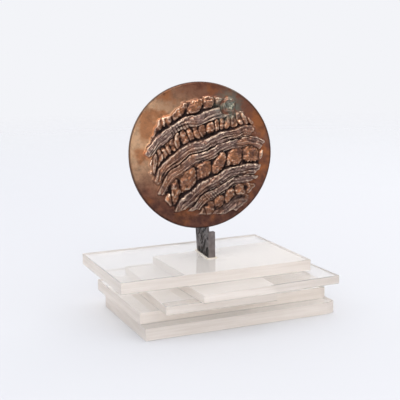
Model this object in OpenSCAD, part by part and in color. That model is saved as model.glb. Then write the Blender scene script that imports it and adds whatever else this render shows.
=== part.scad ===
// Cast medallion with a rough relief, held by a thin metal post
// on a stand of five clear acrylic sheets that lie stacked askew.
// Millimetres. +X is the viewer's right, +Y goes away from the viewer, +Z is up.
// The origin lies on the surface under the stand, in the middle of the outline from above.

/* [Medallion] */
// Diameter of the cast disc
medal_dia = 100; // [80:0.5:120]
// Thickness of the disc at its smooth border
medal_thick = 4.2; // [3:0.1:6]
// Radius of the rounded rim
rim_round = 1.8; // [0.8:0.1:2]
// Height of the tallest ridge above the smooth border
relief_height = 3.4; // [1.5:0.1:4.5]
// How far the hand-cast outline strays from a true circle
out_of_round = 0.4; // [0:0.1:1]
// Angle by which the disc leans back
medal_lean = 4; // [0:0.2:8]
// Angle by which the disc turns to the viewer's left
medal_turn = 8.8; // [0:0.2:15]
// Distance of the disc's middle to the left of the post
medal_shift = 3.6; // [0:0.2:12]
// Height of the disc's lower edge above the post's ledge
medal_gap = 3.6; // [1:0.1:8]
// Number of relief cells along one side of the disc
relief_cells = 60; // [24:4:64]

/* [Relief] */
// Radius of the rough panel that the relief fills
panel_radius = 41.5; // [30:0.5:42]
// Sideways place of the rough panel's middle on the disc
panel_u = 3; // [-4:0.5:4]
// Upward place of the rough panel's middle on the disc
panel_v = -1.5; // [-4:0.5:4]
// Sideways place of the point that the ridges bend round
fan_u = 30; // [10:1:50]
// Upward place of the point that the ridges bend round
fan_v = -64; // [-90:1:-56]
// Radius of the small round boss at the top of the panel
boss_radius = 5.2; // [3:0.1:7]

/* [Post] */
// Width of the smooth plate at the front of the post
plate_width = 5; // [4:0.1:10]
// Depth of the smooth plate
plate_depth = 3; // [2:0.1:5]
// Height of the ledge on top of the plate
ledge_height = 18.6; // [12:0.2:30]
// Thickness of the upright fin behind the plate
fin_thick = 1.5; // [1:0.1:3]
// Depth of the whole post along the fin's foot
fin_depth = 26.2; // [18:0.1:34]
// Height of the fin's back edge
fin_back_height = 19.6; // [14:0.2:30]
// How far the fin's back edge leans backwards over that height
fin_back_lean = 3.5; // [0:0.1:6]
// How far the fin rises behind the disc
fin_reach = 16; // [8:0.5:24]
// Angle by which the post turns to the viewer's left
post_turn = 4.8; // [0:0.2:12]
// Width of the cement bead round the post's foot
bead_width = 1.8; // [0.6:0.1:2.5]
// Height of the cement bead
bead_height = 0.8; // [0.3:0.1:1.2]

/* [Top sheet] */
// Width of the top sheet
top_width = 137.2; // [120:0.2:150]
// Depth of the top sheet
top_depth = 86; // [75:0.2:95]
// Thickness of the top sheet
top_thick = 8; // [6:0.1:10]

/* [Right sheet] */
// Width of the thin sheet that shows at the right
right_width = 101; // [90:0.5:110]
// Depth of the right sheet
right_depth = 85; // [75:0.5:90]
// Thickness of the right sheet
right_thick = 5.8; // [4:0.1:8]
// Distance of its middle to the right of the top sheet's middle
right_x = 28; // [20:0.1:36]
// Distance of its middle in front of the top sheet's middle
right_y = 21.4; // [12:0.1:28]
// Angle by which it is glued askew
right_turn = 2.1; // [-3:0.1:3]

/* [Front sheet] */
// Width of the thin sheet that shows at the front
front_width = 77.5; // [60:0.5:90]
// Depth of the front sheet
front_depth = 84; // [75:0.5:90]
// Thickness of the front sheet
front_thick = 5.8; // [4:0.1:8]
// Distance of its middle to the left of the top sheet's middle
front_x = 5.5; // [0:0.1:12]
// Distance of its middle in front of the top sheet's middle
front_y = 19.6; // [12:0.1:26]
// Angle by which it is glued askew
front_turn = -1.1; // [-3:0.1:3]

/* [Middle sheet] */
// Width of the middle sheet
middle_width = 135.7; // [120:0.1:150]
// Depth of the middle sheet
middle_depth = 88.4; // [75:0.1:95]
// Thickness of the middle sheet
middle_thick = 8; // [6:0.1:10]
// Distance of its middle to the right of the top sheet's middle
middle_x = 9.6; // [2:0.1:16]
// Distance of its middle in front of the top sheet's middle
middle_y = 3; // [-4:0.1:10]
// Angle by which it is glued askew
middle_turn = 0.3; // [-3:0.1:3]

/* [Bottom sheet] */
// Width of the bottom sheet
bottom_width = 138; // [120:0.5:150]
// Depth of the bottom sheet
bottom_depth = 83; // [75:0.5:95]
// Thickness of the bottom sheet
bottom_thick = 8.6; // [6:0.1:10]
// Distance of its middle to the right of the top sheet's middle
bottom_x = 11.5; // [4:0.1:18]
// Distance of its middle in front of the top sheet's middle
bottom_y = 14.6; // [6:0.1:22]
// Width of the cut at its front right corner
corner_cut_width = 5.3; // [2:0.1:10]
// Depth of the cut at its front right corner
corner_cut_depth = 2; // [1:0.1:6]

/* [Hidden] */

bronze = [0.52, 0.34, 0.22];
dark_metal = [0.28, 0.26, 0.25];
cement = [0.93, 0.88, 0.78];
clear_acrylic = [0.88, 0.86, 0.83, 0.6];

// Film of cement between two pieces that meet
film = 0.06;
// Place of the post's front left foot from the middle of the top sheet
foot_x = 6.2;
foot_y = -10.7;
// Depth of the fin's level top behind the disc
fin_top_depth = 4;
// Overlap of the disc's lower edge and the plate below it, seen from above
edge_overlap = 0.1;
// Place of the small boss, as an angle from upright and a distance from the panel's middle
boss_angle = 26;
boss_from_mid = 38;
// Rise of the boss as a share of the relief's height
boss_rise = 0.55;
// Rise of the panel's ground between the ridges, as a share of the relief's height
ground_rise = 0.1;
// Slow and quick waves of the ridges, and the same of the panel's edge
ridge_slow_wave = 1.3;
ridge_quick_wave = 0.4;
edge_slow_wave = 1.1;
edge_quick_wave = 0.7;
// Part of the rim's radius at which its rounding has a ring of points
rim_ring = 0.3;

// Columns of a sheet's row: size, place of its middle from the top sheet's middle, and turn
WIDTH = 0;
DEPTH = 1;
SIDE = 2;
BACK = 3;
TURN = 4;
top_row = [top_width, top_depth, 0, 0, 0];
right_row = [right_width, right_depth, right_x, -right_y, right_turn];
front_row = [front_width, front_depth, -front_x, -front_y, front_turn];
middle_row = [middle_width, middle_depth, middle_x, -middle_y, middle_turn];
bottom_row = [bottom_width, bottom_depth, bottom_x, -bottom_y, 0];
sheet_rows = [top_row, right_row, front_row, middle_row, bottom_row];

// Half of a turned sheet's reach along X and along Y
function half_x(row) = (row[WIDTH] * cos(row[TURN]) + row[DEPTH] * abs(sin(row[TURN]))) / 2;
function half_y(row) = (row[DEPTH] * cos(row[TURN]) + row[WIDTH] * abs(sin(row[TURN]))) / 2;

// Middle of the whole stack's outline, seen from the top sheet's middle
stack_left = min([for (row = sheet_rows) row[SIDE] - half_x(row)]);
stack_right = max([for (row = sheet_rows) row[SIDE] + half_x(row)]);
stack_front = min([for (row = sheet_rows) row[BACK] - half_y(row)]);
stack_back = max([for (row = sheet_rows) row[BACK] + half_y(row)]);
stack_mid = [(stack_left + stack_right) / 2, (stack_front + stack_back) / 2];

// Height of each sheet's underside, from the table up
middle_z = bottom_thick + film;
front_z = middle_z + middle_thick + film;
right_z = front_z + front_thick + film;
top_z = right_z + right_thick + film;
stand_z = top_z + top_thick;

// Relief

// Columns of a band's row: where it starts from the fan's point, its rise as a share of the
// relief's height, the spacing of its stones (0 for a plain ridge), and how far its ends stop short
START = 0;
RISE = 1;
PITCH = 2;
SHORT = 3;
bands = [
    [0, 0.50, 0, 0],
    [34, 0.70, 8, 1],
    [42, 0.60, 0, 2.5],
    [48, 0.90, 0, 0],
    [56, 0.85, 12, 2],
    [67, 0.65, 0, 0.5],
    [74, 0.95, 0, 3],
    [82, 0.70, 4.5, 1],
    [91, 1.00, 0, 0],
    [99, 0.80, 10, 2.5],
    [108, 0.50, 0, 0],
    [150, 0, 0, 0]
];

// 0 up to a, 1 from b on, and an even S-curve between them
function ease(a, b, x) =
    let (t = min(1, max(0, (x - a) / (b - a))))
    t * t * (3 - 2 * t);

// Radius of the disc's outline at an angle: a circle with a slow three-lobed stray
function outline(angle) = medal_dia / 2 + out_of_round * sin(3 * angle + 40);

// Distance from the fan's point, with waves so that no ridge is a true arc
function fan_distance(u, v) =
    norm([u - fan_u, v - fan_v])
    + ridge_slow_wave * sin(7 * u + 40)
    + ridge_quick_wave * sin(17 * u + 5 * v);

// Number of the band that a distance from the fan's point falls in
function band_at(far) = len([for (row = bands) if (far >= row[START]) 1]) - 1;

// A ridge rises slowly across its band and falls off steeply at the outer side
function ridge(t) = t < 0.78 ? 0.3 + 0.7 * pow(t / 0.78, 1.6) : 1 - 0.85 * ease(0.78, 1, t);

// A stone is a dome with steep sides in its own cell along the band, each of its own height
function stone(t, along) =
    let (cell = floor(along))
    let (across = pow(abs(2 * t - 1), 2.4))
    let (length_way = pow(abs(2 * (along - cell) - 1), 3))
    0.12 + 0.8 * pow(max(0, 1 - across - length_way), 0.55) * (0.8 + 0.2 * sin(137 * cell));

// Relief of the bands before the panel's edge cuts it
function band_relief(u, v) =
    let (far = fan_distance(u, v))
    let (k = band_at(far))
    let (row = bands[k])
    let (t = (far - row[START]) / (bands[k + 1][START] - row[START]))
    let (along = far * atan2(u - fan_u, v - fan_v) * PI / 180)
    row[RISE] * (row[PITCH] == 0 ? ridge(t) : stone(t, along / row[PITCH]));

// Ragged edge of the panel: a wavy circle, and each band stops at its own distance from it
function panel_share(u, v) =
    let (side = u - panel_u)
    let (up = v - panel_v)
    let (angle = atan2(up, side))
    let (edge = panel_radius + edge_slow_wave * sin(5 * angle + 20) + edge_quick_wave * sin(11 * angle))
    let (short = bands[band_at(fan_distance(u, v))][SHORT])
    ease(0, 2, edge - short - norm([side, up]));

// Low round boss with a shallow ditch round it
boss_u = panel_u + boss_from_mid * sin(boss_angle);
boss_v = panel_v + boss_from_mid * cos(boss_angle);
function boss_distance(u, v) = norm([u - boss_u, v - boss_v]);

// Height of the relief above the smooth border
function relief(u, v) =
    let (off = boss_distance(u, v))
    let (clear_of_boss = ease(boss_radius, boss_radius + 2.4, off))
    let (boss = boss_rise * ease(boss_radius + 0.8, boss_radius - 1.6, off))
    let (ridges = ground_rise + (1 - ground_rise) * band_relief(u, v))
    relief_height * max(boss, clear_of_boss * panel_share(u, v) * ridges);

// Fall of the rounded rim below the border, at a distance in from the outline
function rim_fall(inward) =
    inward >= rim_round ? 0 : rim_round - sqrt(pow(rim_round, 2) - pow(rim_round - inward, 2));

// A square's cell corner carried onto the disc, ring by ring: [share of the radius, angle]
function square_to_disc(a, b) =
    a == 0 && b == 0 ? [0, 0] :
    abs(a) >= abs(b) ? [abs(a), 45 * b / a + (a < 0 ? 180 : 0)] :
    [abs(b), 90 - 45 * a / b + (b < 0 ? 180 : 0)];

// Point of the disc's front for a cell corner, with the front facing +Z
function front_point(i, j) =
    let (polar = square_to_disc(2 * i / relief_cells - 1, 2 * j / relief_cells - 1))
    let (full = outline(polar[1]))
    let (r = full * polar[0])
    let (u = r * cos(polar[1]))
    let (v = r * sin(polar[1]))
    [u, v, relief(u, v) - rim_fall(full - r)];

// Number of a front point, and of the k-th point round the square's edge
function front_number(i, j) = i * (relief_cells + 1) + j;
function edge_number(k) =
    let (side = floor(k / relief_cells))
    let (step = k - side * relief_cells)
    side == 0 ? front_number(step, 0) :
    side == 1 ? front_number(relief_cells, step) :
    side == 2 ? front_number(relief_cells - step, relief_cells) :
    front_number(0, relief_cells - step);

// Closed solid of the disc: relief grid, two rings of the rounded back rim, and the flat back
module disc() {
    around = 4 * relief_cells;
    front = [for (i = [0:relief_cells]) for (j = [0:relief_cells]) front_point(i, j)];
    rings = [for (part = [1, 2]) for (k = [0:around - 1])
        let (p = front[edge_number(k)])
        let (r = norm([p[0], p[1]]))
        let (inward = part == 1 ? rim_ring * rim_round : rim_round)
        let (scale_in = (r - inward) / r)
        [p[0] * scale_in, p[1] * scale_in, -medal_thick + rim_fall(inward)]];
    back_middle = [0, 0, -medal_thick];
    points = concat(front, rings, [back_middle]);
    first_ring = len(front);
    second_ring = first_ring + around;
    last = len(points) - 1;
    front_faces = [for (i = [0:relief_cells - 1]) for (j = [0:relief_cells - 1])
        let (p = front_number(i, j))
        let (q = front_number(i + 1, j))
        for (face = [[p, p + 1, q + 1], [p, q + 1, q]]) face];
    rim_faces = [for (k = [0:around - 1])
        let (next = (k + 1) % around)
        for (face = [
            [edge_number(k), edge_number(next), first_ring + next],
            [edge_number(k), first_ring + next, first_ring + k],
            [first_ring + k, first_ring + next, second_ring + next],
            [first_ring + k, second_ring + next, second_ring + k],
            [second_ring + k, second_ring + next, last]]) face];
    polyhedron(points = points, faces = concat(front_faces, rim_faces));
}

// Placing

// Moves its children from the top sheet's middle at height 0 into the part's own frame
module on_stack(row, height) {
    translate([row[SIDE] - stack_mid[0], row[BACK] - stack_mid[1], height])
        rotate([0, 0, row[TURN]])
        children();
}

// Moves its children to the post's front left foot on the top sheet
module at_foot() {
    translate([foot_x - stack_mid[0], foot_y - stack_mid[1], stand_z + film])
        rotate([0, 0, -post_turn])
        children();
}

// Disc's lower edge in the post's frame, with its back just in front of the fin
edge_height = ledge_height + medal_gap;
edge_back = plate_depth - edge_overlap;

module medallion() {
    half = medal_dia / 2;
    color(bronze)
        at_foot()
        translate([-medal_shift, edge_back, edge_height])
        rotate([0, 0, post_turn - medal_turn])
        rotate([-medal_lean, 0, 0])
        translate([0, -medal_thick, half])
        rotate([90, 0, 0])
        disc();
}

// Depth at which the disc's leaning back passes the fin's left side at a height
function fin_front(height) =
    edge_back + film
    + tan(medal_lean) / cos(medal_turn - post_turn) * (height - edge_height)
    - tan(medal_turn - post_turn) * medal_shift;

module post() {
    fin_top = edge_height + fin_reach;
    fin_side = [
        [0, 0],
        [fin_depth, 0],
        [fin_depth + fin_back_lean, fin_back_height],
        [fin_front(fin_top) + fin_top_depth, fin_top],
        [fin_front(fin_top), fin_top],
        [fin_front(ledge_height), ledge_height],
        [0, ledge_height]
    ];
    color(dark_metal)
        at_foot()
        union() {
            cube([plate_width, plate_depth, ledge_height]);
            rotate([90, 0, 90])
                linear_extrude(fin_thick)
                polygon(fin_side);
        }
}

// Outline of the post's foot, grown outwards by a margin
module foot_outline(margin) {
    polygon([
        [-margin, -margin],
        [plate_width + margin, -margin],
        [plate_width + margin, plate_depth + margin],
        [fin_thick + margin, plate_depth + margin],
        [fin_thick + margin, fin_depth + margin],
        [-margin, fin_depth + margin]
    ]);
}

module cement_bead() {
    color(cement)
        at_foot()
        linear_extrude(bead_height)
        difference() {
            foot_outline(bead_width);
            foot_outline(film);
        }
}

// Plain sheet with square sawn sides, centred on its own middle
module sheet(row, thick) {
    translate([-row[WIDTH] / 2, -row[DEPTH] / 2, 0])
        cube([row[WIDTH], row[DEPTH], thick]);
}

module top_sheet() {
    color(clear_acrylic)
        on_stack(top_row, top_z)
        sheet(top_row, top_thick);
}

module right_sheet() {
    color(clear_acrylic)
        on_stack(right_row, right_z)
        sheet(right_row, right_thick);
}

module front_sheet() {
    color(clear_acrylic)
        on_stack(front_row, front_z)
        sheet(front_row, front_thick);
}

module middle_sheet() {
    color(clear_acrylic)
        on_stack(middle_row, middle_z)
        sheet(middle_row, middle_thick);
}

// Sheet with its front right corner sawn off at a slant
module bottom_sheet() {
    half_w = bottom_width / 2;
    half_d = bottom_depth / 2;
    color(clear_acrylic)
        on_stack(bottom_row, 0)
        linear_extrude(bottom_thick)
        polygon([
            [-half_w, -half_d],
            [half_w - corner_cut_width, -half_d],
            [half_w, -half_d + corner_cut_depth],
            [half_w, half_d],
            [-half_w, half_d]
        ]);
}

medallion();
post();
cement_bead();
top_sheet();
right_sheet();
front_sheet();
middle_sheet();
bottom_sheet();
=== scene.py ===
# %% [markdown]
# # A cast medallion on a stack of clear acrylic
# The object is a round bronze casting with a rough raised relief. A thin dark metal post holds it
# up, and the post is cemented to five sheets of clear acrylic that lie stacked askew. The packed
# model gives every piece its place, in metres. This lesson gives the same pieces their finish:
# the crumbled relief, the rough post, the bead of cement and the polished and sawn acrylic.

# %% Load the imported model
import math

import bpy
import numpy as np
from mathutils import Matrix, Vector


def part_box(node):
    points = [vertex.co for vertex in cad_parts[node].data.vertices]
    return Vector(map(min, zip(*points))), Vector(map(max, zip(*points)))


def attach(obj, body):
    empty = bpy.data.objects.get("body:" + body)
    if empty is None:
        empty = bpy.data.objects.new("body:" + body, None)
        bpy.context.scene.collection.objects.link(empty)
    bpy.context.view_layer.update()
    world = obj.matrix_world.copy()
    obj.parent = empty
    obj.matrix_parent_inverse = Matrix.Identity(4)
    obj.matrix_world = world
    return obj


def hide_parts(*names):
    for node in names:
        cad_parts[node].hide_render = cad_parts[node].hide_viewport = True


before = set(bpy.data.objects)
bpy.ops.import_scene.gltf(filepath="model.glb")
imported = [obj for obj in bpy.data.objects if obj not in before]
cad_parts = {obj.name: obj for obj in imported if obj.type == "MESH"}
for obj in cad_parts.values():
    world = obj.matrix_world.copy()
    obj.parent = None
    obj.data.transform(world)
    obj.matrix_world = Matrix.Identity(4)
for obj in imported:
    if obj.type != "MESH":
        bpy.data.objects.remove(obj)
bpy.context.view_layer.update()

# %% [markdown]
# ## Sizes that the pieces share
# Lengths are in millimetres, as on a drawing, and are turned into Blender's metres only when a
# mesh is made. Every number here could be measured on the object.

# %% Sizes of the disc and the post
MM = 0.001
FILM = 0.06

MEDAL_DIA = 100.0
MEDAL_THICK = 4.2
RIM_ROUND = 1.8
RELIEF_HEIGHT = 3.4
OUT_OF_ROUND = 0.4
MEDAL_LEAN = 4.0
MEDAL_TURN = 8.8
MEDAL_SHIFT = 3.6

PLATE_WIDTH = 5.0
PLATE_DEPTH = 3.0
LEDGE_HEIGHT = 18.6
FIN_THICK = 1.5
FIN_DEPTH = 26.2
FIN_BACK_HEIGHT = 19.6
FIN_BACK_LEAN = 3.5
FIN_TOP_DEPTH = 4.0
POST_TURN = 4.8

EDGE_HEIGHT = LEDGE_HEIGHT + 3.6
EDGE_BACK = PLATE_DEPTH - 0.1
FIN_TOP = EDGE_HEIGHT + 16.0
print("top of the post over the stand, mm:", FIN_TOP)

# Middle of the stack and front left foot of the post, seen from the top sheet's middle
STACK_MID = np.array([5.95, -11.359])
FOOT = np.array([6.2, -10.7])

# %% [markdown]
# ## Moving points about
# A piece's object stays at the origin, unturned, so its place has to be in its points. Points are
# kept in an array whose last axis is X, Y and Z, and turning them all is one line of algebra.

# %% Turn and move arrays of points
def turned(points, axis, degrees):
    """Points turned about an axis (0 is X, 2 is Z): the other two coordinates rotate."""
    c, s = math.cos(math.radians(degrees)), math.sin(math.radians(degrees))
    a, b = [(1, 2), (2, 0), (0, 1)][axis]
    out = points.copy()
    out[..., a] = c * points[..., a] - s * points[..., b]
    out[..., b] = s * points[..., a] + c * points[..., b]
    return out


def at_foot(points):
    """Points given from the post's front left foot, moved onto the top sheet."""
    stand_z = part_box("top_sheet")[1][2] / MM
    return turned(points, 2, -POST_TURN) + np.array([*(FOOT - STACK_MID), stand_z + FILM])


def at_disc(points):
    """Points on the disc (right, up, out of the front), moved to where the disc stands."""
    right, up, out = np.moveaxis(points, -1, 0)
    upright = np.stack([right, -out - MEDAL_THICK, up + MEDAL_DIA / 2], axis=-1)
    facing = turned(turned(upright, 0, -MEDAL_LEAN), 2, POST_TURN - MEDAL_TURN)
    return at_foot(facing + np.array([-MEDAL_SHIFT, EDGE_BACK, EDGE_HEIGHT]))


print("foot of the post, mm:", at_foot(np.zeros(3)).round(2))
print("middle of the disc's front, mm:", at_disc(np.zeros(3)).round(2))

# %% [markdown]
# ## Meshes from arrays
# Blender takes a whole array of coordinates at once with foreach_set, which is far quicker than
# adding vertices one at a time. A grid of points needs only one rule for its faces: each cell
# joins a point, its neighbour, and the two points of the next row.

# %% Make meshes from grids of points
def numbered(rows, columns, first=0):
    """Point numbers of a grid, row by row."""
    return first + np.arange(rows * columns).reshape(rows, columns)


def grid_quads(numbers):
    """Faces of a grid: cell (i, j) joins points (i, j), (i, j+1), (i+1, j+1) and (i+1, j)."""
    corners = [numbers[:-1, :-1], numbers[:-1, 1:], numbers[1:, 1:], numbers[1:, :-1]]
    return np.stack(corners, axis=-1).reshape(-1, 4)


def ring_quads(numbers):
    """Faces of a grid whose rows are rings: the first column comes again after the last."""
    return grid_quads(np.concatenate([numbers, numbers[:, :1]], axis=1))


def make_piece(name, points, faces, smooth=True):
    """A mesh object from points in mm and a list of face arrays, each with its own corner count."""
    mesh = bpy.data.meshes.new(name)
    corners = np.concatenate([f.ravel() for f in faces]).astype(np.int32)
    sizes = np.concatenate([np.full(len(f), f.shape[1]) for f in faces])
    starts = np.concatenate([[0], np.cumsum(sizes)[:-1]]).astype(np.int32)
    mesh.vertices.add(len(points))
    mesh.vertices.foreach_set("co", (points * MM).astype(np.float32).ravel())
    mesh.loops.add(len(corners))
    mesh.loops.foreach_set("vertex_index", corners)
    mesh.polygons.add(len(sizes))
    mesh.polygons.foreach_set("loop_start", starts)
    mesh.polygons.foreach_set("use_smooth", np.full(len(sizes), smooth))
    mesh.update(calc_edges=True)
    mesh.validate()
    piece = bpy.data.objects.new(name, mesh)
    bpy.context.collection.objects.link(piece)
    print(name, "triangles:", int((sizes - 2).sum()))
    return piece


def keep_values(piece, name, values):
    """Stores one number for each point on the mesh, for a material to read by its name."""
    attribute = piece.data.attributes.new(name, "FLOAT", "POINT")
    attribute.data.foreach_set("value", values.astype(np.float32).ravel())


def stands_for(piece, node):
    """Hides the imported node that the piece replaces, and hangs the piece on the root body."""
    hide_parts(node)
    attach(piece, "root")


# %% [markdown]
# ## Material helpers
# Colours are written as the hex values that a colour picker shows, and one function turns them
# into the linear values that Blender mixes. Another adds a node with its settings and links, so
# that a material reads as a short recipe.

# %% Colour and node helpers
def linear(code):
    """A hex colour such as #9a6238 as linear red, green, blue and alpha."""
    srgb = np.array([int(code[i:i + 2], 16) for i in (1, 3, 5)]) / 255
    dark = srgb / 12.92
    light = ((srgb + 0.055) / 1.055) ** 2.4
    return (*np.where(srgb <= 0.04045, dark, light), 1.0)


def add(tree, kind, settings=None, inputs=None):
    """Adds a node, sets its properties, and gives each input a value or another node's output."""
    made = tree.nodes.new("ShaderNode" + kind)
    for name, value in (settings or {}).items():
        setattr(made, name, value)
    for key, value in (inputs or {}).items():
        if isinstance(value, bpy.types.NodeSocket):
            tree.links.new(value, made.inputs[key])
        else:
            made.inputs[key].default_value = value
    return made


def new_material(name):
    """An empty material with its output and shader nodes, and the object's coordinates."""
    material = bpy.data.materials.new(name)
    material.use_nodes = True
    tree = material.node_tree
    tree.nodes.clear()
    shader = add(tree, "BsdfPrincipled")
    add(tree, "OutputMaterial", None, {"Surface": shader.outputs[0]})
    place = add(tree, "TexCoord").outputs["Object"]
    return material, tree, shader, place


def mixed(tree, share, low, high):
    """A colour between two others, by a share from 0 to 1."""
    return add(tree, "Mix", {"data_type": "RGBA"}, {0: share, 6: low, 7: high}).outputs[2]


def stretch(tree, value, low, high, new_low=0.0, new_high=1.0):
    """A value's range low to high, carried to a new range and held at its ends."""
    limits = {0: value, 1: low, 2: high, 3: new_low, 4: new_high}
    return add(tree, "MapRange", {"clamp": True}, limits).outputs[0]


def maths(tree, operation, a, b):
    """One sum on two values, such as ADD, MULTIPLY or MAXIMUM."""
    return add(tree, "Math", {"operation": operation}, {0: a, 1: b}).outputs[0]


def speckle(tree, place, size_mm, detail=3.0, rough=0.6):
    """Noise whose lumps are about size_mm across: Blender's scale counts lumps in a metre."""
    inputs = {"Vector": place, "Scale": 1000 / size_mm, "Detail": detail, "Roughness": rough}
    return add(tree, "TexNoise", None, inputs).outputs[0]


def read(tree, name):
    """A value that was stored on the mesh."""
    return add(tree, "Attribute", {"attribute_name": name}).outputs["Fac"]


def raised(tree, shader, height, depth_mm):
    """Bump on the shader's normal from a height of 0 to 1 that stands for depth_mm."""
    inputs = {"Distance": depth_mm * MM, "Height": height}
    tree.links.new(add(tree, "Bump", None, inputs).outputs[0], shader.inputs["Normal"])


# %% [markdown]
# ## Noise for broken edges
# A clay or wax model is never even. Value noise gives that: random numbers at the corners of
# square cells, eased from one to the next. It takes whole arrays and is the same in each run,
# because its numbers come from a seed.

# %% Noise on arrays
TABLE = 97


def ease(a, b, x):
    """0 up to a, 1 from b on, and the S-curve 3t^2 - 2t^3 between them."""
    t = np.clip((x - a) / (b - a), 0, 1)
    return t * t * (3 - 2 * t)


def lumps(u, v, size, seed):
    """Value noise from -1 to 1: a random number at each corner of square cells, eased between."""
    table = np.random.default_rng(seed).uniform(-1, 1, (TABLE, TABLE))
    x, y = u / size, v / size
    i, j = np.floor(x).astype(int), np.floor(y).astype(int)
    s, t = ease(0, 1, x - i), ease(0, 1, y - j)
    i, j, right, up = i % TABLE, j % TABLE, (i + 1) % TABLE, (j + 1) % TABLE
    near = table[i, j] * (1 - s) + table[right, j] * s
    far = table[i, up] * (1 - s) + table[right, up] * s
    return near * (1 - t) + far * t


def rough_lumps(u, v, size, seed, layers=3):
    """Value noise at halving sizes, each layer at half the strength of the one before."""
    return sum(lumps(u, v, size / 2**k, seed + k) / 2**k for k in range(layers))


print("noise at 0, 1 and 2 mm:", lumps(np.arange(3), np.zeros(3), 5.0, 1).round(2))

# %% [markdown]
# ## The relief
# The casting keeps what hands and tools did to the soft model. Ridges like layers of bark bend
# round a point below the disc, and rows of stones lie between them. A point's distance from the
# bend's middle says which band it is in, and the way along the band says which stone. The noise
# breaks the crests and crumbles the ground, and short cuts of a chisel cross the ridges. A band
# that has no stone length is a ridge, and some bands end short of the panel's edge.

# %% Bands of the relief
START, RISE, PITCH, SHORT = np.array([
    # start in mm, share of the full rise, length of a stone, how far the band ends short
    [0, 0.50, 0, 0],
    [34, 0.70, 8, 1],
    [42, 0.60, 0, 2.5],
    [48, 0.90, 0, 0],
    [56, 0.85, 12, 2],
    [67, 0.65, 0, 0.5],
    [74, 0.95, 0, 3],
    [82, 0.70, 4.5, 1],
    [91, 1.00, 0, 0],
    [99, 0.80, 10, 2.5],
    [108, 0.50, 0, 0],
    [150, 0, 0, 0],
]).T

FAN = (30.0, -64.0)
CREST_AT = 0.84
PANEL_MID = (3.0, -1.5)
PANEL_RADIUS = 41.5
BOSS_RADIUS = 5.2
BOSS_ANGLE = math.radians(26)
BOSS = (PANEL_MID[0] + 38 * math.sin(BOSS_ANGLE), PANEL_MID[1] + 38 * math.cos(BOSS_ANGLE))


def ridge(t):
    """A ridge rises slowly across its band, as t^1.6, and falls off steeply at the outer side."""
    rising = 0.3 + 0.7 * (np.minimum(t, CREST_AT) / CREST_AT) ** 1.6
    return np.where(t < CREST_AT, rising, 1 - 0.85 * ease(CREST_AT, 0.98, t))


def stones(t, along, seed):
    """A pebble in each cell, a root of 1 - |x|^2.4 - |y|^3, with its own height and tilt."""
    cell = np.floor(along).astype(int)
    own = np.random.default_rng(seed).uniform(-1, 1, (64, 3))[cell % 64]
    across, length_way = 2 * t - 1, 2 * (along - cell) - 1
    dome = np.clip(1 - np.abs(across) ** 2.4 - np.abs(length_way) ** 3, 0, None) ** 0.55
    tilt = 1 + 0.3 * own[..., 1] * length_way + 0.4 * own[..., 2] * across
    return 0.12 + 0.8 * dome * (0.78 + 0.22 * own[..., 0]) * np.clip(tilt, 0.5, 1.25)


print("bands:", len(START) - 1, "of which stony:", int((PITCH > 0).sum()))

# %% [markdown]
# Short parallel cuts are a common tool mark. Each group is one row of a table, and each cut is a
# thin groove about its own middle line.

# %% Chisel cuts
# Place of a group's first cut, angle, spacing and number
CUTS = [
    (-21, 17, 118, 2.1, 7),
    (24, -9, 64, 2.4, 5),
    (2, -29, 128, 1.9, 6),
]
CUT_LENGTH = 6.5
CUT_WIDTH = 0.45


def chisel_cuts(u, v):
    """Share of a cut's depth: 1 on each cut's line, and 0 past its width or its ends."""
    deepest = np.zeros_like(u)
    for first_u, first_v, angle, spacing, number in CUTS:
        c, s = math.cos(math.radians(angle)), math.sin(math.radians(angle))
        for k in range(number):
            right, up = u - first_u - k * spacing, v - first_v - 0.25 * k * spacing
            way, off = np.abs(c * right + s * up), np.abs(-s * right + c * up)
            cut = ease(CUT_WIDTH, 0, off) * ease(CUT_LENGTH / 2, CUT_LENGTH / 3, way)
            deepest = np.maximum(deepest, cut)
    return deepest


print("chisel cuts:", sum(group[-1] for group in CUTS))

# %% [markdown]
# The height of each point follows from its band: the band's own form first, then a crumbled
# crest, thin layers like bark, and chips. A ragged outline ends the panel and is bitten where a
# band stops short, and the corroded boss rises from the border beside it.

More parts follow.
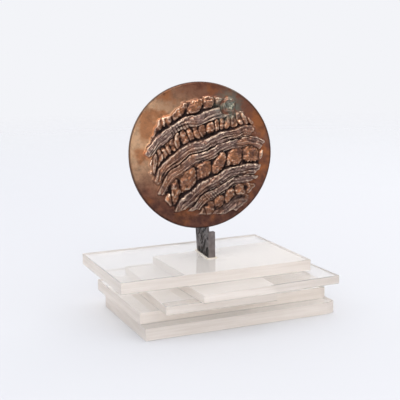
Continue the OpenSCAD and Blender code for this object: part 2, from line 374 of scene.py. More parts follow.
# %% Height of the relief at each point
def relief(u, v):
    """Height in mm over the border, shares of panel and stone, and place along and across."""
    wander = 1.3 * np.sin(np.radians(7 * u + 40)) + 0.4 * np.sin(np.radians(17 * u + 5 * v))
    ragged = 0.7 * lumps(u, v, 8.0, 1) + 0.3 * lumps(u, v, 2.2, 2)
    far = np.hypot(u - FAN[0], v - FAN[1]) + wander + ragged
    band = np.searchsorted(START, far, side="right") - 1
    t = (far - START[band]) / (START[band + 1] - START[band])
    along = far * np.arctan2(u - FAN[0], v - FAN[1]) + 2.4 * lumps(u, v, 9.0, 3)

    stony = PITCH[band] > 0
    form = np.where(stony, stones(t, along / np.where(stony, PITCH[band], 1), 11), ridge(t))
    plain = np.where(stony, 0.2, 1.0)
    crest = ease(0.35, 0.8, t) * plain
    broken = 1 - crest * (0.18 + 0.34 * lumps(along, far, 5.0, 4) + 0.2 * lumps(along, far, 1.3, 5))
    layer = far / 2.1 + 0.5 * lumps(along, far, 8.0, 6)
    layers = (layer - np.floor(layer)) ** 1.5 * plain
    height = RELIEF_HEIGHT * RISE[band] * form * np.clip(broken, 0.3, 1.05)
    height = height + 0.75 * layers * (1 - 0.7 * crest)
    chips = np.minimum(lumps(u, v, 3.4, 33) + 0.5 * lumps(u, v, 1.5, 34), 0.1)
    chipped = chips * np.where(stony, 1, 0.3)
    height = height + 0.9 * chipped + 0.35 * lumps(along / 5, far, 0.9, 30) * plain
    height = height + 0.25 * rough_lumps(u, v, 2.0, 20)

    side, up = u - PANEL_MID[0], v - PANEL_MID[1]
    angle = np.arctan2(up, side)
    edge = PANEL_RADIUS + 1.1 * np.sin(5 * angle + math.radians(20)) + 0.7 * np.sin(11 * angle)
    torn = 4.5 * (1 - t) ** 2 * plain - 0.6 + 1.2 * lumps(u, v, 2.6, 7)
    share = ease(0, 1.6, edge - 0.5 * SHORT[band] - torn - np.hypot(side, up))

    off = np.hypot(u - BOSS[0], v - BOSS[1]) + 0.9 * lumps(u, v, 4.0, 8)
    share = share * ease(BOSS_RADIUS, BOSS_RADIUS + 2.4, off)
    boss = 0.5 * RELIEF_HEIGHT * ease(BOSS_RADIUS + 0.8, BOSS_RADIUS - 1.4, off)
    boss = boss * (1 + 0.25 * lumps(u, v, 1.6, 9)) - 0.7 * ease(2.6, 0.8, off)
    ground = share * (0.35 + height - 0.6 * chisel_cuts(u, v))
    return np.maximum(boss, ground), share, share * stony, along, far


# %% [markdown]
# ## The disc
# A square grid is pulled onto the round disc ring by ring, so that the cells stay nearly even and
# there is no crowded pole in the middle. The outer ring goes on round the rim and over the back,
# which was left plain.

# %% Points of the disc's front
CELLS = 280


def square_to_disc(a, b):
    """Share of the radius and angle for a point of the square from -1 to 1, ring by ring."""
    flat = np.abs(a) >= np.abs(b)
    whole, part = np.where(flat, a, b), np.where(flat, b, a)
    ratio = part / np.where(whole == 0, 1, whole)
    angle = np.where(flat, 45 * ratio, 90 - 45 * ratio) + np.where(whole < 0, 180, 0)
    return np.abs(whole), np.radians(angle)


def rim_fall(inward):
    """Drop of the rounded rim at a distance in from the outline: a quarter circle."""
    short = np.clip(RIM_ROUND - inward, 0, RIM_ROUND)
    return RIM_ROUND - np.sqrt(RIM_ROUND**2 - short**2)


steps = np.linspace(-1, 1, CELLS + 1)
share_out, angle = square_to_disc(*np.meshgrid(steps, steps, indexing="ij"))
full = MEDAL_DIA / 2 + OUT_OF_ROUND * np.sin(3 * angle + math.radians(40))
radius = full * share_out
u, v = radius * np.cos(angle), radius * np.sin(angle)
height, panel, stone, along, far = relief(u, v)
cast_skin = 0.05 * rough_lumps(u, v, 3.0, 40) + 0.14 * lumps(u, v, 14.0, 44)
front = np.stack([u, v, height + cast_skin - rim_fall(full - radius)], axis=-1)
print("relief height, mm:", round(float(height.max()), 2))

# %% [markdown]
# The outer points of that grid make a ring. Copies of it, drawn in step by step, go round the rim
# on a quarter circle and then over the plain back, and one face closes the last of them.

# %% Rim and back of the disc
def outer_round(grid):
    """The outer points of a grid in one round: along the first column, and on round the others."""
    return np.concatenate([grid[:-1, 0], grid[-1, :-1], grid[:0:-1, -1], grid[0, :0:-1]])


RIM_STEPS = 6
BACK_RINGS = 10

ring = outer_round(front)
ring_radius = np.hypot(ring[:, 0], ring[:, 1])
rim_turn = np.linspace(0, math.pi / 2, RIM_STEPS + 1)[1:]
over_back = np.linspace(RIM_ROUND, MEDAL_DIA / 2 - 1, BACK_RINGS + 1)[1:]
inward = np.concatenate([RIM_ROUND * (1 - np.cos(rim_turn)), over_back])
shrink = np.clip((ring_radius - inward[:, None]) / ring_radius, 0.004, 1)
back_u, back_v = ring[:, 0] * shrink, ring[:, 1] * shrink
back_skin = 0.06 * rough_lumps(back_u, back_v, 7.0, 50, 2)
back = np.stack([back_u, back_v, rim_fall(inward)[:, None] - MEDAL_THICK + back_skin], axis=-1)

front_numbers = numbered(*front.shape[:2])
back_numbers = numbered(*back.shape[:2], first=front_numbers.size)
rows = np.concatenate([outer_round(front_numbers)[None], back_numbers])
front_faces = grid_quads(front_numbers)[:, ::-1]
disc_faces = [front_faces, ring_quads(rows)[:, ::-1], back_numbers[-1:, ::-1]]
disc_points = np.concatenate([front.reshape(-1, 3), back.reshape(-1, 3)])
medallion = make_piece("cast_medallion", at_disc(disc_points), disc_faces)
stands_for(medallion, "medallion")

# %% [markdown]
# ## Where the patina is worn
# Hands and cloths rub what stands out, and patina stays in the hollows. How far a point stands
# above its blurred surroundings says which it is, and its pale colour on the crests is partly a
# painted highlight. Those values go onto the mesh, and so do the place of the panel and the
# corroded boss, a painted dark rim, a painted reflection at the left and painted shade low down.

# %% Keep wear and place on the mesh
def blurred(grid, cells):
    """Mean of the neighbours up to some cells away, along one axis and then the other, twice."""
    width = 2 * cells + 1
    for axis in (0, 1, 0, 1):
        ends = [(cells + 1, cells) if k == axis else (0, 0) for k in (0, 1)]
        total = np.cumsum(np.pad(grid, ends, mode="edge"), axis)
        start = np.arange(grid.shape[axis])
        grid = (total.take(start + width, axis) - total.take(start, axis)) / width
    return grid


def on_front(values, behind=0.0):
    """Values of the front's grid, and after them one value, or one for each ring, for the back."""
    return np.concatenate([values.ravel(), np.broadcast_to(behind, back_numbers.shape).ravel()])


# The golden part is a painted reflection of light: it lies at the left of the border, a little above
# the middle
from_painted_reflection = np.hypot(u / full + 0.85, 1.3 * (v / full - 0.3))
crest = (height - blurred(height, 2)) / 0.3
print("crests, share of the front:", round(float((crest > 0.3).mean()), 2))
keep_values(medallion, "crest", on_front(crest))
keep_values(medallion, "hollow", on_front((blurred(height, 7) - height) / 1.2))
keep_values(medallion, "along", on_front(along * MM))
keep_values(medallion, "far", on_front(far * MM))
keep_values(medallion, "panel", on_front(panel))
keep_values(medallion, "stone", on_front(stone))
# Painted dark on the rounded rim, standing for a dark reflection, and a little over the whole back
rim_behind = 0.3 + 0.7 * ease(3.0, 1.0, inward[:, None])
keep_values(medallion, "rim", on_front(ease(2.1, 0.5, full - radius), rim_behind))
keep_values(medallion, "gold_and_painted_reflection", on_front(ease(1.3, 0, from_painted_reflection), 0.3))
# Darker towards the bottom: painted shade on the relief and on the border
keep_values(medallion, "low", on_front(ease(0.1, -0.9, v / full), 0.5))
keep_values(medallion, "corroded", on_front(ease(15, 4, np.hypot(u - BOSS[0], v - BOSS[1]))))

# %% [markdown]
# ## Patinated bronze
# Cast bronze is coloured with heat and chemicals. The smooth border turns orange brown, with
# golden clouds where the patina is thin and a painted reflection at the left. Its rim is painted
# dark and its lower part gets painted shade. Each colour is laid over the ones before it, by a share
# that comes from noise or from the values on the mesh.

# %% Colour of the border and the back
def border_colour(tree, place, clouds, flecks):
    """Brown to gold with a painted reflection, orange patches, stains, painted shade low, painted
    dark rim.
    """
    # Gold clouds, made stronger at the left of the border as a painted reflection
    gold_and_painted_reflection = stretch(tree, maths(tree, "ADD", read(tree, "gold_and_painted_reflection"), clouds), 0.55, 1.3)
    colour = mixed(tree, gold_and_painted_reflection, linear("#966450"), linear("#f8cca4"))
    orange = stretch(tree, speckle(tree, place, 15, 3.0), 0.5, 0.62, 0, 0.75)
    colour = mixed(tree, orange, colour, linear("#c27a4b"))
    # Dark stains from noise, and painted shade that grows towards the bottom
    stain = maths(tree, "ADD", stretch(tree, read(tree, "low"), 0, 1, 0, 0.3), flecks)
    colour = mixed(tree, stretch(tree, stain, 0.48, 0.9, 0, 0.85), colour, linear("#4a3431"))
    # Painted dark line along the rounded rim, standing for a dark reflection
    rim = stretch(tree, read(tree, "rim"), 0, 1, 0, 0.85)
    return mixed(tree, rim, colour, linear("#3a2620"))


# %% [markdown]
# The relief keeps a purplish patina on its ground and black in its hollows. The stones and some
# clouds between them show copper. A pale colour on the crests, in patches, is rubbed bare metal
# and partly a painted highlight, and painted shade darkens the lower part. Fine streaks follow the
# bands: their noise reads the place along and across a band that was kept on the mesh, squashed
# along it.

# %% Colour of the relief
STREAK_WIDTH = 0.9
STREAK_LENGTH = 12


def relief_colour(tree, clouds, flecks):
    """Streaked ground or copper, dark hollows, crests partly painted as highlights, painted shade low
    down.
    """
    squash = STREAK_WIDTH / STREAK_LENGTH
    band = {"X": maths(tree, "MULTIPLY", read(tree, "along"), squash), "Y": read(tree, "far")}
    band = add(tree, "CombineXYZ", None, band).outputs[0]
    streaks = speckle(tree, band, STREAK_WIDTH, 3.0)
    ground = mixed(tree, stretch(tree, streaks, 0.35, 0.65), linear("#584645"), linear("#a98a7e"))
    copper = mixed(tree, stretch(tree, flecks, 0.35, 0.6), linear("#6e5048"), linear("#b8805e"))
    cloud = stretch(tree, clouds, 0.48, 0.6, 0, 0.75)
    colour = mixed(tree, maths(tree, "MAXIMUM", read(tree, "stone"), cloud), ground, copper)
    hollow = stretch(tree, read(tree, "hollow"), -0.1, 0.6)
    colour = mixed(tree, hollow, colour, linear("#2e2424"))
    small_patches = stretch(tree, flecks, 0.35, 0.6, 0.15, 1.0)
    large_patches = stretch(tree, clouds, 0.6, 0.42, 0.5, 1.0)
    patchy = maths(tree, "MULTIPLY", small_patches, large_patches)
    # Pale crests: rubbed bare metal, and partly a painted highlight
    bare_and_painted_highlight = maths(tree, "MULTIPLY", stretch(tree, read(tree, "crest"), 0.3, 1.1), patchy)
    colour = mixed(tree, bare_and_painted_highlight, colour, linear("#fbe3cc"))
    # Painted shade: the lower part of the relief is made darker
    low = stretch(tree, read(tree, "low"), 0, 1, 0, 0.4)
    return mixed(tree, low, colour, linear("#3a2c2a"))


# %% [markdown]
# The two colours meet at the panel's edge, and green corrosion sits round the boss. The whole is
# metal under a thin patina, which is duller in the hollows, where it is thick.

# %% Bronze material
def bronze_material():
    """Patinated cast bronze: metal throughout, duller and rougher where the patina is thick."""
    material, tree, shader, place = new_material("patinated_cast_bronze")
    clouds = speckle(tree, place, 22, 4.0)
    flecks = speckle(tree, place, 5, 5.0, 0.7)
    grain = speckle(tree, place, 1.1, 4.0, 0.7)

    border = border_colour(tree, place, clouds, flecks)
    colour = mixed(tree, read(tree, "panel"), border, relief_colour(tree, clouds, flecks))
    blotches = stretch(tree, flecks, 0.4, 0.55, 0.1, 0.9)
    green = maths(tree, "MULTIPLY", read(tree, "corroded"), blotches)
    colour = mixed(tree, green, colour, linear("#858b80"))
    tree.links.new(colour, shader.inputs["Base Color"])

    shader.inputs["Metallic"].default_value = 0.9
    dull = stretch(tree, read(tree, "hollow"), -0.4, 0.6, 0.36, 0.55)
    tree.links.new(dull, shader.inputs["Roughness"])
    raised(tree, shader, grain, 0.12)
    return material


bronze = bronze_material()
medallion.data.materials.append(bronze)
print("nodes of the bronze:", len(bronze.node_tree.nodes))

# %% [markdown]
# ## The post
# A smooth plate stands in front, and a thin fin behind it rises to the back of the disc. The post
# is one loft: at each height a walk round its outline, an L up to the ledge and the fin alone
# above it. The rows at the ledge's own height draw the L in to the fin and so make the flat ledge.

# %% Outline of the post at each height
FOOT_CORNERS = np.array([
    [0, 0], [PLATE_WIDTH, 0], [PLATE_WIDTH, PLATE_DEPTH],
    [FIN_THICK, PLATE_DEPTH], [FIN_THICK, FIN_DEPTH], [0, FIN_DEPTH],
])
FRONT_SIDE = 0
LEFT_SIDE = 5


def walk_round(spacing):
    """Distances along the foot's outline, the side that each falls on, and the share along it."""
    sides = np.hypot(*(np.roll(FOOT_CORNERS, -1, axis=0) - FOOT_CORNERS).T)
    reached = np.concatenate([[0], np.cumsum(sides)])
    where = np.linspace(0, reached[-1], int(reached[-1] / spacing), endpoint=False)
    side = np.searchsorted(reached, where, side="right") - 1
    return where, side, (where - reached[side]) / sides[side]


def on_outline(corners, side, share):
    """Points on outlines, straight from each corner to the next."""
    share = share[..., None]
    return corners[..., side, :] * (1 - share) + np.roll(corners, -1, axis=-2)[..., side, :] * share


def fin_front(height):
    """Depth at which the disc's leaning back passes the fin at a height: a straight line."""
    turn = math.radians(MEDAL_TURN - POST_TURN)
    lean = math.tan(math.radians(MEDAL_LEAN)) / math.cos(turn)
    return EDGE_BACK + FILM + lean * (height - EDGE_HEIGHT) - math.tan(turn) * MEDAL_SHIFT


def post_corners(height, above):
    """Outline corners at each height: the foot's L with a leaning back, drawn in to the fin."""
    tops = [FIN_DEPTH, FIN_DEPTH + FIN_BACK_LEAN, fin_front(FIN_TOP) + FIN_TOP_DEPTH]
    back = np.interp(height, [0, FIN_BACK_HEIGHT, FIN_TOP], tops)
    low = np.repeat(FOOT_CORNERS[None].astype(float), len(height), axis=0)
    low[:, 4:, 1] = back[:, None]
    near = fin_front(height)
    far = PLATE_DEPTH + np.clip(0.5 * (height - LEDGE_HEIGHT), 0, 2)
    thick = np.full_like(height, FIN_THICK)
    high = [(thick * 0, near), (thick, near), (thick, near + 0.4 * (far - near)), (thick, far),
            (thick, back), (thick * 0, back)]
    high = np.stack([np.stack(corner, axis=-1) for corner in high], axis=1)
    return low * (1 - above[:, None, None]) + high * above[:, None, None]


# %% [markdown]
# The fin's left side is rough, like bark, with furrows that run down and backwards. They are
# pushed in from the plain side, and the depth of each is kept on the mesh for the material. A
# last blur of the whole grid rounds every edge a little, as filing and handling do.

# %% Build the post
def furrows(depth, height):
    """How deep the rough side is carved, in mm: long narrow noise, turned by 45 degrees."""
    across = 0.74 * depth + 0.67 * height + 0.9 * lumps(depth, height, 5.0, 61)
    along = 0.67 * depth - 0.74 * height
    broad = lumps(across, along / 5, 2.1, 62)
    deep = ease(-0.05, 0.5, broad + 0.6 * lumps(across, along / 3, 1.0, 65))
    fine = lumps(across, along / 4, 0.7, 63)
    return 0.12 + 0.55 * deep + 0.2 * fine + 0.1 * rough_lumps(depth, height, 2.0, 64)


POST_ROWS = 90
LEDGE_ROWS = 8

below = np.linspace(0, LEDGE_HEIGHT, POST_ROWS)
higher = np.linspace(LEDGE_HEIGHT, FIN_TOP, POST_ROWS)
drawn_in = np.linspace(0, 1, LEDGE_ROWS + 2)[1:-1]
row_height = np.concatenate([below, np.full(LEDGE_ROWS, LEDGE_HEIGHT), higher])
row_above = np.concatenate([below * 0, drawn_in, higher * 0 + 1])
where, side, share = walk_round(0.25)
outline = on_outline(post_corners(row_height, row_above), side, share)
tall = np.repeat(row_height[:, None], len(where), axis=1)

on_left = (side == LEFT_SIDE) * ease(0, 0.03, share) * ease(1, 0.97, share)
carved = on_left * np.clip(furrows(outline[..., 1], tall), 0, 1.0)
dented = (side == FRONT_SIDE) * 0.05 * (1 + rough_lumps(outline[..., 0], tall, 4.0, 80))
post_points = np.stack([outline[..., 0] + carved, outline[..., 1] + dented, tall], axis=-1)
beside = np.roll(post_points, 1, axis=1) + np.roll(post_points, -1, axis=1)
post_points = (beside + 2 * post_points) / 4
post_points[1:-1] = (post_points[:-2] + 2 * post_points[1:-1] + post_points[2:]) / 4

numbers = numbered(*tall.shape)
post_faces = [ring_quads(numbers), numbers[-1:], numbers[:1, ::-1]]
post = make_piece("dark_post", at_foot(post_points.reshape(-1, 3)), post_faces)
print("deepest furrow, mm:", round(float(carved.max()), 2))
keep_values(post, "furrow", carved)
keep_values(post, "filed", np.broadcast_to(side == FRONT_SIDE, tall.shape) * 1.0)
stands_for(post, "post")

# %% [markdown]
# ## Dark metal
# The post was cut out, filed in front, left rough at the side and then blackened. The black wore
# off where hands reach and stays in the furrows. The depth that is kept on the mesh says where
# those are, so the colour fits the carving.

# %% Post material
def dark_metal_material():
    """Dark patinated metal: black in the furrows, and grey brown where it is filed or rubbed."""
    material, tree, shader, place = new_material("chiselled_dark_metal")
    patches = speckle(tree, place, 3.5, 4.0, 0.65)
    grain = speckle(tree, place, 0.6, 3.0)
    rubbed = stretch(tree, patches, 0.35, 0.65)
    rough_side = mixed(tree, rubbed, linear("#3c3635"), linear("#827a78"))
    filed_side = mixed(tree, rubbed, linear("#79706e"), linear("#918988"))
    colour = mixed(tree, read(tree, "filed"), rough_side, filed_side)
    deep = stretch(tree, read(tree, "furrow"), 0.15, 0.5)
    colour = mixed(tree, deep, colour, linear("#1a1412"))
    tree.links.new(colour, shader.inputs["Base Color"])
    shader.inputs["Metallic"].default_value = 0.8
    tree.links.new(stretch(tree, patches, 0.3, 0.7, 0.55, 0.4), shader.inputs["Roughness"])
    raised(tree, shader, grain, 0.08)
    return material


dark_metal = dark_metal_material()
post.data.materials.append(dark_metal)
print("nodes of the dark metal:", len(dark_metal.node_tree.nodes))

# %% [markdown]
# ## The cement bead
# Acrylic cement was run round the post's foot and set as a low pale bead. It is a profile carried
# along a closed path: half a flat oval, and the path is the foot's outline. Its width wanders,
# because it was run by hand.

# %% Build the cement bead
BEAD_WIDTH = 1.8
BEAD_HEIGHT = 0.8
BEAD_GAP = 0.08

where, side, share = walk_round(0.2)
path = on_outline(FOOT_CORNERS, side, share)
chord = np.roll(path, -3, axis=0) - np.roll(path, 3, axis=0)
outward = np.stack([chord[:, 1], -chord[:, 0]], axis=-1) / np.hypot(*chord.T)[:, None]
uneven = 0.85 + 0.15 * lumps(where, where * 0, 3.1, 90)
oval = np.linspace(0, math.pi, 12)
profile = (BEAD_WIDTH - BEAD_GAP) * (0.5 + 0.5 * np.cos(oval))
reach = BEAD_GAP + profile * uneven[:, None]
rise = BEAD_HEIGHT * np.sin(oval) ** 0.8 * uneven[:, None]
bead_plan = path[:, None] + outward[:, None] * reach[..., None]
bead_points = np.concatenate([bead_plan, rise[..., None]], axis=-1)
numbers = numbered(*rise.shape)
bead_faces = [ring_quads(np.concatenate([numbers, numbers[:1]]))[:, ::-1]]
bead = make_piece("cement_ring", at_foot(bead_points.reshape(-1, 3)), bead_faces)
stands_for(bead, "cement_bead")

# %% [markdown]
# Set cement is much the same plastic as the sheets, but it yellows and holds small bubbles.
# Little light goes straight through, so it looks creamy, with a gloss.

# %% Cement material
ACRYLIC_IOR = 1.49


def cement_material():
    """Set acrylic cement: glossy, slightly yellowed, and cloudy from small bubbles."""
    material, tree, shader, place = new_material("set_acrylic_cement")
    bubbles = speckle(tree, place, 1.6, 3.0)
    colour = mixed(tree, stretch(tree, bubbles, 0.4, 0.7), linear("#f7f1e6"), linear("#e2d4bf"))
    tree.links.new(colour, shader.inputs["Base Color"])
    shader.inputs["Roughness"].default_value = 0.3
    shader.inputs["IOR"].default_value = ACRYLIC_IOR
    shader.inputs["Transmission Weight"].default_value = 0.25
    raised(tree, shader, bubbles, 0.1)
    return material


cement = cement_material()
bead.data.materials.append(cement)
print("nodes of the cement:", len(cement.node_tree.nodes))

# %% [markdown]
# ## The acrylic sheets
# Each sheet was sawn from cast acrylic: the two faces keep the factory polish, and the sawn sides
# are satin. The corners are eased and polished too, so a thin bright or dark line runs along each
# arris. A sheet is therefore a slab whose outline goes up in rings, drawn in a little at the
# bottom and the top, and each of its faces knows which finish it gets.

# %% Build the sheets
ARRIS = 0.35
ARRIS_STEPS = 3
POLISHED = 0
SAWN = 1
UNDERSIDE = 2


def inset(corners, distance):
    """A convex outline moved inwards: each corner goes to where its two moved sides cross."""
    ahead = np.roll(corners, -1, axis=0) - corners
    ahead = ahead / np.hypot(*ahead.T)[:, None]
    normal = np.stack([-ahead[:, 1], ahead[:, 0]], axis=-1)
    before = np.roll(normal, 1, axis=0)
    return corners + distance * (normal + before) / (1 + (normal * before).sum(axis=1))[:, None]


def sheet(name, node, outline, turn, middle):
    """A slab between the node's own underside and top, with rounded arrises along its outline."""
    low, high = (corner[2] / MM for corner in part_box(node))
    bend = np.linspace(0, math.pi / 2, ARRIS_STEPS + 1)
    steps_in = ARRIS * (1 - np.concatenate([np.sin(bend), np.cos(bend)]))
    levels = np.concatenate([low + ARRIS * (1 - np.cos(bend)), high - ARRIS * (1 - np.sin(bend))])
    rings = [np.column_stack([inset(outline, step), np.full(len(outline), level)])
             for step, level in zip(steps_in, levels)]
    points = turned(np.array(rings), 2, turn) + np.array([*middle, 0])
    numbers = numbered(*points.shape[:2])
    sides = ring_quads(numbers)
    faces = [sides, numbers[-1:], numbers[:1, ::-1]]
    piece = make_piece(name, points.reshape(-1, 3), faces, smooth=False)
    stands_for(piece, node)
    kind = np.full(len(sides) + 2, POLISHED, dtype=np.int32)
    kind[ARRIS_STEPS * len(outline):(ARRIS_STEPS + 1) * len(outline)] = SAWN
    kind[-1] = UNDERSIDE
    return piece, kind


def rectangle(width, depth):
    """Corners of a rectangle round its own middle, anticlockwise from the front left."""
    return np.array([[-width, -depth], [width, -depth], [width, depth], [-width, depth]]) / 2


# The bottom sheet's front right corner was sawn off at a slant
left_front, right_front, right_back, left_back = rectangle(138.0, 83.0)
corner_cut = [right_front - [5.3, 0], right_front + [0, 2.0]]
bottom_outline = np.array([left_front, *corner_cut, right_back, left_back])

# Name, node, outline, turn, and middle seen from the top sheet's middle
SHEETS = [
    ("acrylic_top", "top_sheet", rectangle(137.2, 86.0), 0, (0, 0)),
    ("acrylic_right", "right_sheet", rectangle(101.0, 85.0), 2.1, (28.0, -21.4)),
    ("acrylic_front", "front_sheet", rectangle(77.5, 84.0), -1.1, (-5.5, -19.6)),
    ("acrylic_middle", "middle_sheet", rectangle(135.7, 88.4), 0.3, (9.6, -3.0)),
    ("acrylic_bottom", "bottom_sheet", bottom_outline, 0, (11.5, -14.6)),
]
sheets = [sheet(*row[:4], np.array(row[4]) - STACK_MID) for row in SHEETS]

# %% [markdown]
# ## Polished and sawn acrylic
# Both are the same clear plastic, and the light bends by the same amount in it. The polished face
# is nearly a mirror at a low angle and clear from above. A renderer looks for each lamp along a
# straight line, and takes clear plastic for a wall, so most of those lines are let through here.
# The stack then glows inside and throws a pale shadow, as the real one does.

# %% Light through clear plastic
def lets_light_by(tree, shader, stopped):
    """Rays that look for a lamp meet only a share of the face, and all others the whole of it."""
    looks = add(tree, "LightPath").outputs["Is Shadow Ray"]
    tree.links.new(stretch(tree, looks, 0, 1, 1.0, stopped), shader.inputs["Alpha"])


# %% [markdown]
# A polished face shows small faults by how sharp its reflection is: smudges are a little dull,
# and scratches more so. Cement that was wiped off round the post has left curved smears there,
# which are drawn where a wide noise crosses its middle value.

# %% Polished acrylic
FOOT_MIDDLE = at_foot(np.array([PLATE_WIDTH / 2, FIN_DEPTH / 2, 0.0])) * MM


def polished_material():
    """Cast acrylic, factory polish: clear as water, with smudges, scratches and smeared cement."""
    material, tree, shader, place = new_material("polished_cast_acrylic")
    smudge = stretch(tree, speckle(tree, place, 14, 4.0), 0.5, 0.8, 0.01, 0.08)
    drawn_out = {"Vector": place, "Rotation": (0, 0, 0.6), "Scale": (0.04, 1, 1)}
    lines = add(tree, "Mapping", None, drawn_out).outputs[0]
    scratch = stretch(tree, speckle(tree, lines, 0.8, 2.0), 0.72, 0.78, 0, 0.25)
    near = add(tree, "VectorMath", {"operation": "DISTANCE"}, {0: place, 1: tuple(FOOT_MIDDLE)})
    wiped = stretch(tree, near.outputs["Value"], 0.026, 0.016)
    off_middle = maths(tree, "SUBTRACT", speckle(tree, place, 16, 1.0), 0.52)
    off_line = maths(tree, "ABSOLUTE", off_middle, 0)
    smear = maths(tree, "MULTIPLY", wiped, stretch(tree, off_line, 0.05, 0.01))
    marks = maths(tree, "MAXIMUM", maths(tree, "MULTIPLY", smear, 0.3), scratch)
    tree.links.new(maths(tree, "MAXIMUM", smudge, marks), shader.inputs["Roughness"])
    tree.links.new(stretch(tree, smear, 0, 1, 0.97, 0.8), shader.inputs["Transmission Weight"])
    shader.inputs["Base Color"].default_value = linear("#fdfbf8")
    shader.inputs["IOR"].default_value = ACRYLIC_IOR
    lets_light_by(tree, shader, 0.05)
    return material


# %% [markdown]
# A thin film of cement holds each sheet to the one below, and it is hazy. It lies where the two
# touch, so the haze needs the outline of the sheet below. A point is inside that outline when
# its distances from the middle, counted in half widths and half depths, are both under one.

# %% Underside of a sheet
def underside_material(name, below):
    """Cast acrylic, clear but for a haze of cement inside the outline of the sheet below."""
    material, tree, shader, place = new_material("underside_" + name)
    outline, turn, middle = below
    half = np.ptp(outline, axis=0) / 2
    own = {"Vector": place, "Location": (*((np.array(middle) - STACK_MID) * MM), 0),
           "Rotation": (0, 0, math.radians(turn)), "Scale": (*(half * MM), 1)}
    local = add(tree, "Mapping", {"vector_type": "TEXTURE"}, own).outputs[0]
    local = add(tree, "VectorMath", {"operation": "ABSOLUTE"}, {0: local}).outputs["Vector"]
    parts = add(tree, "SeparateXYZ", None, {0: local})
    off = maths(tree, "MAXIMUM", parts.outputs["X"], parts.outputs["Y"])
    touches = maths(tree, "LESS_THAN", off, 1.0)
    tree.links.new(stretch(tree, touches, 0, 1, 0.8, 0.15), shader.inputs["Transmission Weight"])
    tree.links.new(stretch(tree, touches, 0, 1, 0.02, 0.12), shader.inputs["Roughness"])
    shader.inputs["Base Color"].default_value = linear("#faf9fa")
    shader.inputs["Specular IOR Level"].default_value = 0.0
    shader.inputs["IOR"].default_value = ACRYLIC_IOR
    lets_light_by(tree, shader, 0.1)
    return material


# %% [markdown]
# The saw leaves fine marks that run along the side. They scatter the light, so a sawn side looks
# milky and glows with the light from inside the sheet. The marks are drawn coarser than a saw's,
# 0.6 mm, so that they show at all.

# %% Sawn acrylic
def sawn_material():
    """Cast acrylic, sawn: satin and milky, because the blade's fine marks scatter the light."""
    material, tree, shader, place = new_material("sawn_cast_acrylic")
    squash = add(tree, "Mapping", None, {"Vector": place, "Scale": (0.05, 0.05, 1.0)})
    marks = speckle(tree, squash.outputs[0], 0.6, 3.0)
    streaks = speckle(tree, squash.outputs[0], 2.2, 4.0, 0.7)
    colour = mixed(tree, stretch(tree, streaks, 0.35, 0.65), linear("#ebe4de"), linear("#dcd3cb"))
    tree.links.new(colour, shader.inputs["Base Color"])
    tree.links.new(stretch(tree, marks, 0.3, 0.7, 0.4, 0.6), shader.inputs["Roughness"])
    shader.inputs["Transmission Weight"].default_value = 0.45
    shader.inputs["IOR"].default_value = ACRYLIC_IOR
    lets_light_by(tree, shader, 0.2)
    raised(tree, shader, marks, 0.03)
    return material


# %% [markdown]
# Every sheet gets three finishes: polished, sawn, and its own underside. The bottom sheet has no
# sheet below, and its underside is hazy all over, because it slides on tables.

# %% Give the sheets their finishes
polished, sawn = polished_material(), sawn_material()
table = ("table", "", rectangle(400, 400), 0, STACK_MID)
for (piece, kind), below in zip(sheets, SHEETS[1:] + [table]):
    for finish in (polished, sawn, underside_material("on_" + below[0], below[2:])):
        piece.data.materials.append(finish)
    piece.data.polygons.foreach_set("material_index", kind)
    print(piece.name, "on", below[0], "- sawn faces:", int((kind == SAWN).sum()))


# %% [markdown]
# ## Floor and background
# The object stands on a plain pale floor. The floor turns see-through with distance and so melts
# into the background, and no horizon shows. It lies a tenth of a millimetre low, so that it
# doesn't fight with the underside of the stack.

# %% Floor
FLOOR_RADIUS = 3000
FLOOR_DROP = 0.1
FLOOR_SIDES = 96

turns = np.linspace(0, 2 * math.pi, FLOOR_SIDES, endpoint=False)
circle = FLOOR_RADIUS * np.stack([np.cos(turns), np.sin(turns)], axis=-1)
floor_points = np.column_stack([circle, np.full(FLOOR_SIDES, -FLOOR_DROP)])
floor_face = np.arange(FLOOR_SIDES)[None]
floor = make_piece("studio_floor", floor_points, [floor_face], smooth=False)


def floor_material():
    """Matt white board, solid for half a metre round and see-through from 1.4 metres out."""
    material, tree, shader, place = new_material("matt_white_board")
    shader.inputs["Base Color"].default_value = linear("#cccdd0")
    shader.inputs["Roughness"].default_value = 0.8
    shader.inputs["Specular IOR Level"].default_value = 0.2
    away = add(tree, "VectorMath", {"operation": "LENGTH"}, {0: place}).outputs["Value"]
    tree.links.new(stretch(tree, away, 0.5, 1.4, 1.0, 0.0), shader.inputs["Alpha"])
    return material


floor.data.materials.append(floor_material())
print("floor, m across:", 2 * FLOOR_RADIUS * MM)

# %% [markdown]
# The room round it is white, and brighter overhead, as under a studio's ceiling lights. Only
# reflections see a dim stretch in front of the object: without it a metal has nothing dark to
# reflect and looks flat.

# %% Background
BACKDROP = "#f3f4f8"
CEILING_LIGHT = 1.6


def white_room():
    """World: the backdrop's white, brighter overhead, and for reflections dim in front."""
    world = bpy.data.worlds.new("white_room")
    world.use_nodes = True
    world.cycles.sampling_method = "NONE"
    tree = world.node_tree
    tree.nodes.clear()
    direction = add(tree, "TexCoord").outputs["Generated"]
    facing = {0: direction, 1: (0.25, -0.96, 0.1)}
    front = add(tree, "VectorMath", {"operation": "DOT_PRODUCT"}, facing).outputs["Value"]
    room = mixed(tree, stretch(tree, front, 0.25, 0.9), linear("#eeeef1"), linear("#6a6665"))
    reflected = add(tree, "LightPath").outputs["Is Glossy Ray"]
    light = mixed(tree, reflected, linear(BACKDROP), room)
    height = add(tree, "SeparateXYZ", None, {0: direction}).outputs["Z"]
    strength = stretch(tree, height, 0.25, 0.7, 1.0, CEILING_LIGHT)
    lit = add(tree, "Background", None, {"Color": light, "Strength": strength})
    add(tree, "OutputWorld", None, {"Surface": lit.outputs[0]})
    bpy.context.scene.world = world


white_room()
print("ceiling, times as bright as the backdrop:", CEILING_LIGHT)

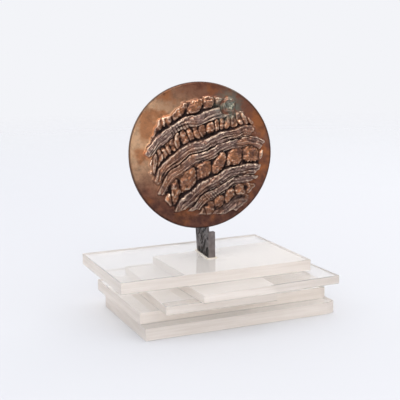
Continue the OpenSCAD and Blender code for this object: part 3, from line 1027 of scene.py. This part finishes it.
# %% [markdown]
# ## Lights
# Large lights give soft shadows and small ones sharp. The key light is a wide one above and behind
# at the right, which lays the soft shadow to the left. The fill lights the sides that face the
# camera and is left out of reflections, and two small ones are seen only in reflections, where
# they draw the bright lines along the crests of the bronze.

# %% Lights
MIDDLE = (0, 0, 0.08)


def soft_light(name, place, size, watts, colour, lights=True, reflects=True):
    """A square area light at a place in metres, turned so that it faces the object's middle."""
    data = bpy.data.lights.new(name, "AREA")
    data.shape = "SQUARE"
    data.size = size
    data.energy = watts
    data.color = linear(colour)[:3]
    light = bpy.data.objects.new(name, data)
    light.location = place
    east, north, up = np.array(place) - np.array(MIDDLE)
    light.rotation_euler = (math.atan2(math.hypot(east, north), up), 0, math.atan2(east, -north))
    light.visible_diffuse = lights
    light.visible_transmission = lights
    light.visible_glossy = reflects
    bpy.context.collection.objects.link(light)
    print(name, "light:", size, "m,", watts, "W")


soft_light("key", (0.9, 0.35, 1.0), 0.8, 2.6, "#fffaf2")
soft_light("fill", (-0.5, -2.2, 0.9), 2.0, 18.5, "#fffaf4", reflects=False)
soft_light("crest_light", (-0.1, -0.35, 1.1), 0.35, 4, "#fff6ea", lights=False)
soft_light("left_light", (-0.9, -0.75, 0.5), 0.4, 3, "#fff0dc", lights=False)

# %% [markdown]
# ## Camera
# The camera looks down a little and from the left. Its lens and place were worked out from the
# straight edges of the sheets, whose vanishing points fix the view.

# %% Camera
camera_data = bpy.data.cameras.new("camera")
camera_data.sensor_width = 36
camera_data.lens = 87.2
camera = bpy.data.objects.new("camera", camera_data)
camera.location = (-0.25895, -0.5973, 0.2039)
yaw, down, roll = (math.radians(angle) for angle in (22.96, 10.94, 0.78))
look = Matrix.Rotation(-yaw, 3, "Z") @ Matrix.Rotation(math.pi / 2 - down, 3, "X")
look = look @ Matrix.Rotation(-roll, 3, "Z")
camera.rotation_euler = look.to_euler()
bpy.context.collection.objects.link(camera)
bpy.context.scene.camera = camera
bpy.context.scene.view_settings.view_transform = "Standard"
print("camera height over the floor, m:", round(camera.location.z, 3))
